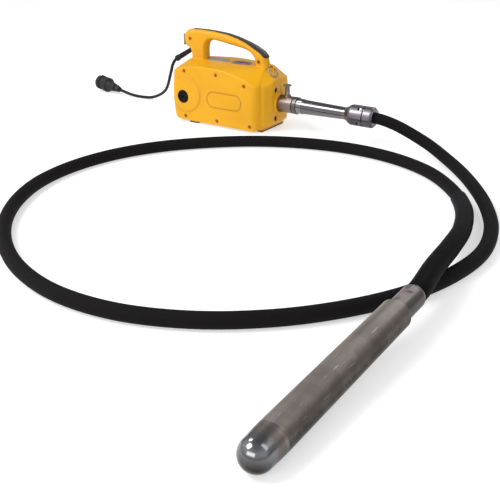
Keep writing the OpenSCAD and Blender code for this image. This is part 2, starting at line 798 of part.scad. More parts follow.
module commutator() {
    color("peru") on_axis(brush_x - 13) difference() {
        cylinder(r = commutator_r, h = 27);
        translate([0, 0, -1]) cylinder(r = shaft_r, h = 40);
        for (k = [0:15]) rotate([0, 0, k * 22.5])
            translate([commutator_r - 1.5, -0.5, -1]) cube([4, 1, 40]);
    }
}

module cooling_fan() {
    color("dimgray") on_axis(fan_x) {
        pipe(14, shaft_r, 26);
        translate([0, 0, 23]) pipe(fan_r, 13, 3);
        for (k = [0:fan_blades - 1]) rotate([0, 0, 360 * k / fan_blades])
            translate([13, -1.2, 4]) cube([fan_r - 15, 2.4, 20]);
    }
}

// Coupling half on the armature shaft: a socket with a square drive
module drive_dog() {
    color("gray") on_axis(bearing_front_x + 14) difference() {
        cylinder(r = 14, h = 50);
        translate([0, 0, -1]) cylinder(r = 7.5, h = 15);
        translate([-6.2, -6.2, 16]) cube([12.4, 12.4, 40]);
    }
}

// Driving end of the flexible shaft: a square tang and its stem
module core_spigot() {
    color("silver") {
        on_axis(bearing_front_x + 36) translate([-6, -6, 0]) cube([12, 12, 36]);
        on_axis(26) cylinder(r = 7, h = hose_route[0][0] - 26.5);
    }
}

// Rear end of the coupling: a spigot with a lock groove, and its collar
module coupling_flange() {
    color("silver") difference() {
        union() {
            on_axis(40) cylinder(r = socket_bore - 0.05, h = 51);
            on_axis(flange_x) cylinder(r = 24.5, h = tube_x - flange_x);
        }
        on_axis(30) cylinder(r = 10, h = 80);
        on_axis(pin_x - 4) pipe(30, 14.5, 8);
    }
}

module coupling_tube() {
    color("silver") difference() {
        union() {
            on_axis(tube_x) cylinder(r = 21.5, h = 18);
            on_axis(tube_x + 18) cylinder(r1 = 20.5, r2 = 17, h = tube_l - 18);
        }
        on_axis(tube_x - 1) cylinder(r = 12, h = tube_l + 2);
    }
}

module bolt_circle(r) {
    for (a = [35:90:305]) rotate([0, 0, a]) translate([r, 0, 0]) children();
}

// Front half of the hose coupling: a flared bell with a pocket for each bolt head
module hose_bell() {
    color("gray") on_axis(bell_x) difference() {
        union() {
            cylinder(r1 = 18, r2 = 20.5, h = 5);
            translate([0, 0, 5]) cylinder(r1 = 20.5, r2 = 26.5, h = 9);
            translate([0, 0, 14]) cylinder(r1 = 26.5, r2 = 28.5, h = 6);
            translate([0, 0, 20]) cylinder(r = 28.5, h = bell_l - 20);
        }
        translate([0, 0, -1]) cylinder(r = 17.05, h = 3.1);
        translate([0, 0, -1]) cylinder(r = 12, h = bell_l + 2);
        translate([0, 0, bell_l - 8]) cylinder(r = hose_d / 2, h = 9);
        bolt_circle(24.6) {
            translate([0, 0, bell_l - 20]) cylinder(r = 2.1, h = 21);
            translate([0, 0, bell_l - 15]) cylinder(r = 6, h = 11.5);
        }
    }
}

// Rear half of the hose coupling, clamped on the hose
module hose_clamp() {
    color("gray") on_axis(clamp_x) difference() {
        union() {
            cylinder(r = 28.5, h = clamp_l - 6);
            translate([0, 0, clamp_l - 6]) cylinder(r1 = 28.5, r2 = 24, h = 6);
        }
        translate([0, 0, -1]) cylinder(r = hose_d / 2 + 0.05, h = clamp_l + 2);
        bolt_circle(24.6) translate([0, 0, -1]) cylinder(r = 2.1, h = 17);
    }
}

module clamp_bolts() {
    color("silver") on_axis(bell_x + bell_l - 3.5) bolt_circle(24.6) {
        cylinder(r = 2.1, h = 20);
        translate([0, 0, -5]) cylinder(r = 5.6, h = 5, $fn = 6);
    }
}

// Steel end sleeve of the hose, held between the coupling halves
module hose_ferrule() {
    color("silver") on_axis(bell_x + bell_l - 8) pipe(hose_d / 2, 8, 19.5);
}

module hose() {
    color("black") swept_pipe(hose_route, [for (p = hose_route) hose_d / 2], hose_bore_r, hose_sides);
}

// Flexible steel core that turns inside the hose
module flex_core() {
    color("dimgray") swept(hose_route, [for (p = hose_route) core_d / 2], core_sides);
}

// Thicker rubber sleeve that keeps the hose from kinking at the poker
module bend_sleeve() {
    route = concat(
        [blend(hose_route[sleeve_first - 1], hose_route[sleeve_first], sleeve_start)],
        [for (i = [sleeve_first:sleeve_last]) hose_route[i]]
    );
    radii = [for (i = [0:len(route) - 1]) i == 0 ? sleeve_r - 2 : sleeve_r];
    color("dimgray") swept_pipe(route, radii, hose_d / 2 + 0.5, hose_sides);
}

module on_poker(s) {
    translate(poker_at) rotate([0, 90 + poker_tilt, poker_yaw]) translate([0, 0, s]) children();
}

// Threaded rear piece with two spanner flats
module rear_connector() {
    color("gray") on_poker(-connector_l) difference() {
        union() {
            cylinder(r1 = 19.5, r2 = 21, h = 6);
            translate([0, 0, 6]) cylinder(r = 21, h = connector_l - 6);
            translate([0, 0, connector_l]) cylinder(r = poker_bore_r - 0.5, h = 22);
        }
        translate([0, 0, -1]) cylinder(r = hose_d / 2 + 1, h = 46);
        translate([0, 0, -1]) cylinder(r = 9, h = 120);
        for (a = [0, 180]) rotate([0, 0, a]) translate([18.5, -30, 22]) cube([10, 60, 26]);
    }
}

module poker_tube() {
    color("dimgray") on_poker(0) difference() {
        union() {
            cylinder(r1 = poker_d / 2 - 3, r2 = poker_d / 2, h = 4);
            translate([0, 0, 4]) cylinder(r = poker_d / 2, h = poker_l - nose_l - 4);
        }
        translate([0, 0, -1]) cylinder(r = poker_bore_r - 0.5, h = poker_l);
        translate([0, 0, 60]) cylinder(r = poker_bore_r, h = poker_l);
    }
}

// Hardened round nose, screwed into the tube
module nose_cap() {
    color("silver") on_poker(poker_l - nose_l) difference() {
        union() {
            cylinder(r1 = poker_d / 2, r2 = nose_r, h = nose_l);
            translate([0, 0, nose_l]) sphere(r = nose_r);
            translate([0, 0, -20]) cylinder(r = poker_bore_r - 0.05, h = 22);
        }
        translate([0, 0, -21]) cylinder(r = 16, h = 26);
    }
}

module rear_bearings() {
    color("silver") for (s = [28, 42]) on_poker(s) bearing(bearing_seat_r, rotor_shaft_r + 0.04, 12);
}

module nose_bearing() {
    color("silver") on_poker(poker_l - nose_l - 34)
        bearing(bearing_seat_r + 0.45, rotor_shaft_r + 0.04, 12);
}

module shaft_seal() {
    color("black") on_poker(23) pipe(bearing_seat_r - 0.1, rotor_shaft_r + 0.3, 4);
}

// Unbalanced rotor: journals at both ends and a heavy side between them
module eccentric_rotor() {
    heavy_start = 62;
    heavy_end = poker_l - nose_l - 42;
    color("silver") on_poker(0) {
        translate([0, 0, 20]) cylinder(r = rotor_shaft_r, h = heavy_start - 20);
        translate([0, 0, heavy_end]) cylinder(r = rotor_shaft_r, h = 32);
        intersection() {
            translate([rotor_offset, 0, heavy_start]) cylinder(r = 15, h = heavy_end - heavy_start);
            translate([-6, -30, heavy_start]) cube([40, 60, heavy_end - heavy_start]);
        }
    }
}

// Sleeve that joins the flexible core to the rotor
module core_end() {
    color("gray") on_poker(-24) pipe(8.5, 5, 36);
    color("gray") on_poker(12) cylinder(r = 8.5, h = 8);
}

housing_right();
housing_left();
grip_insert();
housing_screws();
foot_pads();
name_plate();
vent_grille();
strap_ring();
switch_module();
switch_rocker();
cord_boot();
cord_clamp();
mains_cord();
plug_body();
plug_pins();
brush_caps();
brush_holders();
carbon_brushes();
brush_springs();
stator_core();
field_coils();
fan_baffle();
rear_bearing();
front_bearing();
drive_casting();
casting_screws();
lock_bush();
lock_pin();
lock_spring();
armature_shaft();
armature_core();
armature_winding();
commutator();
cooling_fan();
drive_dog();
core_spigot();
coupling_flange();
coupling_tube();
hose_bell();
hose_clamp();
clamp_bolts();
hose_ferrule();
hose();
flex_core();
bend_sleeve();
rear_connector();
poker_tube();
nose_cap();
rear_bearings();
nose_bearing();
shaft_seal();
eccentric_rotor();
core_end();
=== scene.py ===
"""Looks of the electric concrete vibrator: camera, cords, materials, mouldings, floor and light."""

import math

import bmesh
import bpy
import numpy as np
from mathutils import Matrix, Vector


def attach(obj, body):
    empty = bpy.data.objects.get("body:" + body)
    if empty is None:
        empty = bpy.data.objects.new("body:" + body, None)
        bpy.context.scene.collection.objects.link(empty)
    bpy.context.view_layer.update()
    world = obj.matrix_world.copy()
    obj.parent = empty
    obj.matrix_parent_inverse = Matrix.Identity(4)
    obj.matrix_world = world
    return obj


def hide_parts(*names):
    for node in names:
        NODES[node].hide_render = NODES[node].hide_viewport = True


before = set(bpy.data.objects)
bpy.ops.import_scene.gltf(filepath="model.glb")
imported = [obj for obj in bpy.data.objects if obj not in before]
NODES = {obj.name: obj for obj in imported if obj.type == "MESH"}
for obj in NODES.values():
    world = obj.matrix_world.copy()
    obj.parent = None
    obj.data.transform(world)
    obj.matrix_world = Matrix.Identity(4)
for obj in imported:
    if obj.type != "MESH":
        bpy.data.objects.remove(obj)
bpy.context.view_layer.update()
MM = 0.001

# ---------------------------------------------------------------- camera
CAMERA_AT = (1.206, -1.928, 0.644)
CAMERA_HEADING = Vector((-0.5505, 0.8348, 0)).normalized()
CAMERA_DIP = math.radians(24.67)
CAMERA_LENS = 56.9

camera_data = bpy.data.cameras.new("camera")
camera_data.sensor_width = 36
camera_data.lens = CAMERA_LENS
camera_data.clip_start = 0.05
camera_data.clip_end = 60
camera = bpy.data.objects.new("camera", camera_data)
bpy.context.scene.collection.objects.link(camera)
bpy.context.scene.camera = camera
aim = CAMERA_HEADING * math.cos(CAMERA_DIP) + Vector((0, 0, -math.sin(CAMERA_DIP)))
camera.location = CAMERA_AT
camera.rotation_mode = "QUATERNION"
camera.rotation_quaternion = aim.to_track_quat("-Z", "Y")

# ---------------------------------------------------------------- cords
HOSE_D = 0.03
SLEEVE_D = 0.038
SLEEVE_BORE_R = 0.0152
SLEEVE_EDGE = 0.003
SLEEVE_SLIM = 0.0015
SLEEVE_TAPER = 0.09
CORD_D = 0.0095

# Routes in millimetres. A place on a route is counted in its points, from 0 at the first one.
HOSE_ROUTE = [
    (321, 0, 77), (347, 0, 77), (396, 0, 68), (450, -5, 51.5), (506, -21, 35), (564, -57, 21),
    (622, -114, 15), (692, -210, 15), (755, -316, 15), (804, -432, 15),
    (826, -555, 15), (812, -676, 15), (772, -790, 15), (708, -894, 15), (624, -986, 15),
    (520, -1060, 15), (400, -1106, 15), (274, -1114, 15), (152, -1084, 15), (42, -1024, 15),
    (-52, -942, 15), (-126, -842, 15), (-174, -730, 15), (-188, -608, 15), (-168, -484, 15),
    (-116, -372, 15), (-34, -272, 15), (70, -186, 15), (190, -128, 15), (318, -102, 15),
    (446, -114, 15), (562, -166, 15), (656, -256, 15.5), (722, -366, 20), (763, -490, 28),
    (785, -616, 42), (798, -736, 50.5), (809, -826, 51), (809, -846, 50), (808, -886, 47.5),
]
CORD_ROUTE = [
    (-270, 0, 202), (-332, 0, 166), (-344, 1, 157), (-354, 2, 143),
    (-362, 5, 126), (-374, 11, 103), (-387, 19, 81), (-404, 30, 60), (-425, 41, 42),
    (-449, 51, 28), (-476, 59, 16), (-502, 63, 8), (-530, 64, 5), (-560, 62, 5),
    (-588, 60, 8), (-613, 60, 12.5), (-637, 62, 16.5), (-651, 64, 18),
]
HOSE_START = 0.35
SLEEVE_START = 32.42
SLEEVE_END = 38
CORD_START = 0.7
ROUTE_SAMPLES = 3000


def smooth_route(points, step, first=0.0, last=None):
    """Points a step apart on a smooth curve through the route, from one place on it to another."""
    p = [Vector(q) * MM for q in points]
    p = [2 * p[0] - p[1], *p, 2 * p[-1] - p[-2]]
    last = len(points) - 1 if last is None else last

    def at(place):
        i = min(int(place), len(points) - 2)
        a, b, c, d = p[i : i + 4]
        t0, t1 = 0.0, math.sqrt((b - a).length)
        t2 = t1 + math.sqrt((c - b).length)
        t3 = t2 + math.sqrt((d - c).length)
        t = t1 + (t2 - t1) * (place - i)
        ab = a * (t1 - t) / (t1 - t0) + b * (t - t0) / (t1 - t0)
        bc = b * (t2 - t) / (t2 - t1) + c * (t - t1) / (t2 - t1)
        cd = c * (t3 - t) / (t3 - t2) + d * (t - t2) / (t3 - t2)
        abc = ab * (t2 - t) / (t2 - t0) + bc * (t - t0) / (t2 - t0)
        bcd = bc * (t3 - t) / (t3 - t1) + cd * (t - t1) / (t3 - t1)
        return abc * (t2 - t) / (t2 - t1) + bcd * (t - t1) / (t2 - t1)

    fine = [at(first + (last - first) * k / ROUTE_SAMPLES) for k in range(ROUTE_SAMPLES + 1)]
    run = distances(fine)
    count = max(2, round(run[-1] / step))
    out, j = [], 0
    for k in range(count + 1):
        want = run[-1] * k / count
        while j < ROUTE_SAMPLES - 1 and run[j + 1] < want:
            j += 1
        f = (want - run[j]) / max(run[j + 1] - run[j], 1e-12)
        out.append(fine[j].lerp(fine[j + 1], min(max(f, 0), 1)))
    return out


def distances(path):
    """How far along the path each of its points is."""
    run = [0.0]
    for a, b in zip(path, path[1:]):
        run.append(run[-1] + (b - a).length)
    return run


def tube(name, path, radius, sides=28, bore=None):
    """A tube along a path; radius gives the outer radius at a distance from the start and from the end."""
    mesh = bmesh.new()
    uv = mesh.loops.layers.uv.new("along")
    frames, side = [], None
    for i, q in enumerate(path):
        t = (path[min(i + 1, len(path) - 1)] - path[max(i - 1, 0)]).normalized()
        side = (t.cross(Vector((0, 0, 1))) if side is None else side - t * side.dot(t)).normalized()
        frames.append((q, side.copy(), side.cross(t)))
    run = distances(path)

    def rings(size):
        made = []
        for i, (q, s, u) in enumerate(frames):
            r = size(run[i], run[-1] - run[i])
            made.append([
                mesh.verts.new(q + (s * math.cos(a) + u * math.sin(a)) * r)
                for a in (2 * math.pi * k / sides for k in range(sides))
            ])
        return made

    def skin(made, inward):
        for i in range(len(made) - 1):
            for k in range(sides):
                n = (k + 1) % sides
                quad = [made[i][k], made[i][n], made[i + 1][n], made[i + 1][k]]
                spots = [(k, i), (k + 1, i), (k + 1, i + 1), (k, i + 1)]
                if inward:
                    quad, spots = quad[::-1], spots[::-1]
                face = mesh.faces.new(quad)
                face.smooth = True
                for loop, (a, j) in zip(face.loops, spots):
                    loop[uv].uv = (a / sides, run[j])

    outer = rings(radius)
    skin(outer, False)
    if bore is None:
        mesh.faces.new(outer[0][::-1])
        mesh.faces.new(outer[-1])
    else:
        inner = rings(lambda a, b: bore)
        skin(inner, True)
        for made, flip in ((0, False), (-1, True)):
            for k in range(sides):
                n = (k + 1) % sides
                quad = [outer[made][k], inner[made][k], inner[made][n], outer[made][n]]
                mesh.faces.new(quad[::-1] if flip else quad)
    bmesh.ops.recalc_face_normals(mesh, faces=mesh.faces)
    data = bpy.data.meshes.new(name)
    mesh.to_mesh(data)
    mesh.free()
    made = bpy.data.objects.new(name, data)
    bpy.context.scene.collection.objects.link(made)
    return made


def plain(r):
    """Radius of a tube that is the same all along."""
    return lambda from_start, from_end: r


def rounded_ends(r, edge, slim, taper):
    """Radius of a tube with rounded ends, which is thinner by slim at its start, over the taper's length."""
    def size(from_start, from_end):
        near = min(from_start, from_end)
        drop = 0 if near >= edge else edge - math.sqrt(edge * edge - (edge - near) ** 2)
        return r - drop - slim * max(0.0, 1 - from_start / taper)
    return size


hose_path = smooth_route(HOSE_ROUTE, 0.009, first=HOSE_START)
hose = tube("rubber_hose", hose_path, plain(HOSE_D / 2), sides=32)
sleeve_path = smooth_route(HOSE_ROUTE, 0.003, first=SLEEVE_START, last=SLEEVE_END)
sleeve_radius = rounded_ends(SLEEVE_D / 2, SLEEVE_EDGE, SLEEVE_SLIM, SLEEVE_TAPER)
sleeve = tube("rubber_bend_sleeve", sleeve_path, sleeve_radius, sides=40, bore=SLEEVE_BORE_R)
cord_path = smooth_route(CORD_ROUTE, 0.004, first=CORD_START)
cord = tube("rubber_mains_cord", cord_path, plain(CORD_D / 2), sides=20)
for piece, node in ((hose, "hose"), (sleeve, "bend_sleeve"), (cord, "mains_cord")):
    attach(piece, "motor")
    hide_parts(node)

# ---------------------------------------------------------------- materials
DUST = (0.34, 0.31, 0.27)
# Colour of the painted shade in the housing's grooves
GROOVE_SHADE_COLOUR = (0.30, 0.105, 0.004)
SCRATCH = (0.75, 0.74, 0.74)


def is_socket(value):
    return isinstance(value, bpy.types.NodeSocket)


class Look:
    """A node material being put together. Each method adds nodes and gives back their output."""

    def __init__(self, name, where="Object"):
        self.material = bpy.data.materials.new(name)
        self.material.use_nodes = True
        self.tree = self.material.node_tree
        self.tree.nodes.clear()
        out = self.add("ShaderNodeOutputMaterial")
        self.surface = self.add("ShaderNodeBsdfPrincipled")
        self.join(self.surface.outputs[0], out.inputs["Surface"])
        self.place = self.add("ShaderNodeTexCoord").outputs[where]

    def add(self, kind, **settings):
        node = self.tree.nodes.new(kind)
        for key, value in settings.items():
            setattr(node, key, value)
        return node

    def join(self, a, b):
        self.tree.links.new(a, b)

    def put(self, socket, value):
        if is_socket(value):
            self.join(value, socket)
        else:
            socket.default_value = value

    def put_colour(self, socket, value):
        self.put(socket, value if is_socket(value) else (*value, 1))

    def stretched(self, scale, turn=(0, 0, 0)):
        node = self.add("ShaderNodeMapping")
        self.join(self.place, node.inputs["Vector"])
        node.inputs["Rotation"].default_value = turn
        node.inputs["Scale"].default_value = scale
        return node.outputs[0]

    def noise(self, scale, detail=4.0, rough=0.6, source=None, warp=0.0):
        node = self.add("ShaderNodeTexNoise")
        self.join(source or self.place, node.inputs["Vector"])
        node.inputs["Scale"].default_value = scale
        node.inputs["Detail"].default_value = detail
        node.inputs["Roughness"].default_value = rough
        node.inputs["Distortion"].default_value = warp
        return node.outputs["Fac"]

    def span(self, value, low, high, to_low=0.0, to_high=1.0):
        """The value mapped from one range to another, and held at its ends."""
        node = self.add("ShaderNodeMapRange")
        self.join(value, node.inputs["Value"])
        for key, number in (("From Min", low), ("From Max", high), ("To Min", to_low), ("To Max", to_high)):
            node.inputs[key].default_value = number
        return node.outputs["Result"]

    def calc(self, kind, a, b=0):
        node = self.add("ShaderNodeMath", operation=kind)
        self.put(node.inputs[0], a)
        self.put(node.inputs[1], b)
        return node.outputs[0]

    def blend(self, factor, a, b):
        """Colour a where the factor is 0, and b where it is 1."""
        node = self.add("ShaderNodeMix", data_type="RGBA")
        self.put(node.inputs[0], factor)
        self.put_colour(node.inputs[6], a)
        self.put_colour(node.inputs[7], b)
        return node.outputs[2]

    def edges(self, low=0.52, high=0.6):
        """1 on outer edges and 0 on flat faces."""
        return self.span(self.add("ShaderNodeNewGeometry").outputs["Pointiness"], low, high)

    def parts(self):
        """X, Y and Z of the place."""
        node = self.add("ShaderNodeSeparateXYZ")
        self.join(self.place, node.inputs[0])
        return tuple(node.outputs)

    def along(self, vector, direction):
        """How far a vector reaches in a direction."""
        node = self.add("ShaderNodeVectorMath", operation="DOT_PRODUCT")
        self.join(vector, node.inputs[0])
        node.inputs[1].default_value = direction
        return node.outputs["Value"]

    def relief(self, heights, rounding):
        """Bumps from (height, depth in metres) pairs over edges rounded by a radius."""
        bevel = self.add("ShaderNodeBevel", samples=6)
        bevel.inputs["Radius"].default_value = rounding
        normal = bevel.outputs[0]
        for height, depth in heights:
            bump = self.add("ShaderNodeBump")
            bump.inputs["Strength"].default_value = 1.0
            bump.inputs["Distance"].default_value = depth
            self.join(height, bump.inputs["Height"])
            self.join(normal, bump.inputs["Normal"])
            normal = bump.outputs[0]
        self.join(normal, self.surface.inputs["Normal"])

    def finish(self, colour, rough, metal=0.0, specular=0.5):
        self.put_colour(self.surface.inputs["Base Color"], colour)
        self.put(self.surface.inputs["Roughness"], rough)
        self.surface.inputs["Metallic"].default_value = metal
        self.surface.inputs["Coat Roughness"].default_value = 0.25
        self.surface.inputs["Specular IOR Level"].default_value = specular
        return self.material


def groove_painted_shade(look, fine, x, z, straight, radius, width, strength):
    """1 in the painted shade along a groove round a pill shape, or a circle where straight is 0, on both
    sides.

    x and z are the shape's middle, straight is half its straight length, and width half the groove's.
    """
    here = look.parts()
    run = look.calc("ABSOLUTE", look.calc("SUBTRACT", here[0], x))
    run = look.calc("MAXIMUM", look.calc("SUBTRACT", run, straight))
    rise = look.calc("SUBTRACT", here[2], z)
    squares = look.calc("ADD", look.calc("MULTIPLY", run, run), look.calc("MULTIPLY", rise, rise))
    off = look.calc("ABSOLUTE", look.calc("SUBTRACT", look.calc("SQRT", squares), radius))
    off = look.calc("ADD", off, look.span(fine, 0.3, 0.7, -0.0005, 0.0005))
    on_side = look.span(look.calc("ABSOLUTE", here[1]), 0.084, 0.087)
    return look.calc("MULTIPLY", look.span(off, width, width * 0.35, 0, strength), on_side)


def moulding(name, colour, shade, rough=(0.34, 0.46), dust=0.0, specular=0.3, grooves=()):
    """Injection-moulded plastic with flow clouding, grain, rubbed edges, dust and painted shade in grooves.
    """
    look = Look(name)
    cloud = look.noise(9, 3, 0.5, warp=0.6)
    fine = look.noise(70, 5, 0.65)
    base = look.blend(look.span(cloud, 0.35, 0.7), colour, shade)
    base = look.blend(look.span(fine, 0.58, 0.8, 0, 0.35), base, shade)
    rubbed = look.calc("MULTIPLY", look.edges(), look.span(look.noise(120, 4), 0.45, 0.65))
    lighter = tuple(min(1, c * 1.15 + 0.03) for c in colour)
    base = look.blend(look.calc("MULTIPLY", rubbed, 0.5), base, lighter)
    if dust:
        base = look.blend(look.span(look.noise(26, 8, 0.7), 0.56, 0.72, 0, dust), base, DUST)
    # Painted shade: each groove is darkened where shadow falls in it.
    for groove in grooves:
        base = look.blend(groove_painted_shade(look, fine, **groove), base, GROOVE_SHADE_COLOUR)
    sheen = look.span(look.noise(38, 5), 0.3, 0.7, *rough)
    look.relief([(look.noise(1500, 2), 0.00004), (look.noise(16, 2), 0.0002)], 0.0006)
    return look.finish(base, sheen, specular=specular)


def rubber(name, colour, light, rough=(0.62, 0.8), weave=0.0, place="Object", fade=None, specular=0.2):
    """Matte rubber with chalky handling marks; weave gives the cloth print of a wrapped hose.

    fade is the colour of the far end and the length over which the lighter start turns into it.
    """
    look = Look(name, place)
    if fade:
        far = look.blend(look.span(look.noise(9, 4), 0.3, 0.7, 0, 0.3), fade[0], colour)
        colour = look.blend(look.span(look.parts()[1], 0.06, fade[1]), colour, far)
    scuff = look.span(look.noise(22, 8, 0.72, warp=1.5), 0.5, 0.78)
    base = look.blend(look.calc("MULTIPLY", scuff, 0.35), colour, light)
    heights = [(look.noise(900, 3), 0.00005), (look.noise(45, 3), 0.0003)]
    if weave:
        heights.append((look.noise(1, 2, source=look.stretched((26, 700, 1))), weave))
        heights.append((look.noise(1, 2, source=look.stretched((60, 300, 1))), weave))
        streak = look.span(look.noise(1, 6, 0.7, source=look.stretched((14, 3, 1))), 0.55, 0.75, 0, 0.4)
        base = look.blend(streak, base, light)
    look.relief(heights, 0.0004)
    return look.finish(base, look.span(look.noise(60, 5), 0.3, 0.7, *rough), specular=specular)


def metal(
    name, colour, shade, rough, turned=0.0, stretch=(1, 1, 1), stain=0.3, pit=0.0, rounding=0.0005,
    scratch=None, bands=None, shaded_side=None, polished=None,
):
    """Bare metal: machining lines along or round an axis, stains, fine pits and bright edges.

    scratch is the stretch of long bright scratches, bands that of broad darker bands, shaded_side is
    (direction, colour) of painted shade that darkens the side facing that direction, and polished is
    (direction, start, end, colour) for an end that is rubbed bright.
    """
    look = Look(name)
    lines = look.noise(1, 3, 0.7, source=look.stretched(stretch))
    patches = look.noise(28, 7, 0.68, warp=1.2)
    base = look.blend(look.span(patches, 0.42, 0.72, 0, stain), colour, shade)
    base = look.blend(look.span(lines, 0.35, 0.7, 0, 0.35), base, shade)
    bright = tuple(min(1, c * 1.3 + 0.05) for c in colour)
    base = look.blend(look.calc("MULTIPLY", look.edges(0.51, 0.58), 0.6), base, bright)
    streaks = look.span(lines, 0.3, 0.7, -0.04, 0.06)
    sheen = look.calc("ADD", look.span(patches, 0.3, 0.75, *rough), streaks)
    if bands:
        wide = look.span(look.noise(1, 2, 0.5, source=look.stretched(bands)), 0.5, 0.62, 0, 0.28)
        base = look.blend(wide, base, shade)
    if scratch:
        marks = look.span(look.noise(1, 2, 0.5, source=look.stretched(scratch)), 0.69, 0.72)
        base = look.blend(look.calc("MULTIPLY", marks, 0.7), base, SCRATCH)
    if polished:
        direction, start, end, rubbed = polished
        ragged = look.span(patches, 0.2, 0.8, -0.003, 0.003)
        bare = look.span(look.calc("ADD", look.along(look.place, direction), ragged), start, end)
        base = look.blend(bare, base, rubbed)
        sheen = look.calc("MULTIPLY", sheen, look.span(bare, 0, 1, 1.0, 0.42))
    # Painted shade: the side facing the given direction is darkened, as if it lay away from the light.
    if shaded_side:
        direction, shade_colour = shaded_side
        facing = look.along(look.add("ShaderNodeTexCoord").outputs["Normal"], direction)
        shade_amount = look.calc("ADD", facing, look.span(patches, 0.2, 0.8, -0.15, 0.15))
        base = look.blend(look.span(shade_amount, -0.35, 0.8), base, shade_colour)
    heights = []
    if turned:
        heights.append((lines, turned))
    if pit:
        heights.append((look.span(look.noise(320, 4, 0.7), 0.2, 0.55), pit))
    look.relief(heights, rounding)
    return look.finish(base, sheen, metal=1.0)


# Stretches that draw noise out into lines along X, into rings round X, or into lines across the poker
X_LINES = dict(stretch=(6, 900, 900))
X_RINGS = dict(stretch=(1400, 8, 8))
POKER_RINGS = dict(stretch=(8, 700, 8))
# Directions of the sides that get painted shade, as if they lay away from the light
SIDE_AWAY_FROM_LIGHT = (0.8, 0.0, -0.6)
NOSE_SIDE_AWAY_FROM_LIGHT = (0.2, -0.5, -0.85)
COUPLING_SIDE_AWAY_FROM_LIGHT = (0.0, 0.1, -1.0)
TO_NOSE = (-0.0348, -0.9978, -0.0556)
# Dark brown of the painted shade on the poker and its nose
PAINTED_SHADE_BROWN = (0.022, 0.014, 0.008)
# Grooves that get painted shade: round the pill panel and round the brush boss
PILL_GROOVE = dict(x=-0.0975, z=0.0805, straight=0.03725, radius=0.0225, width=0.0034, strength=0.5)
BRUSH_BOSS = dict(x=-0.235, z=0.086, straight=0, radius=0.0528, width=0.005, strength=0.16)

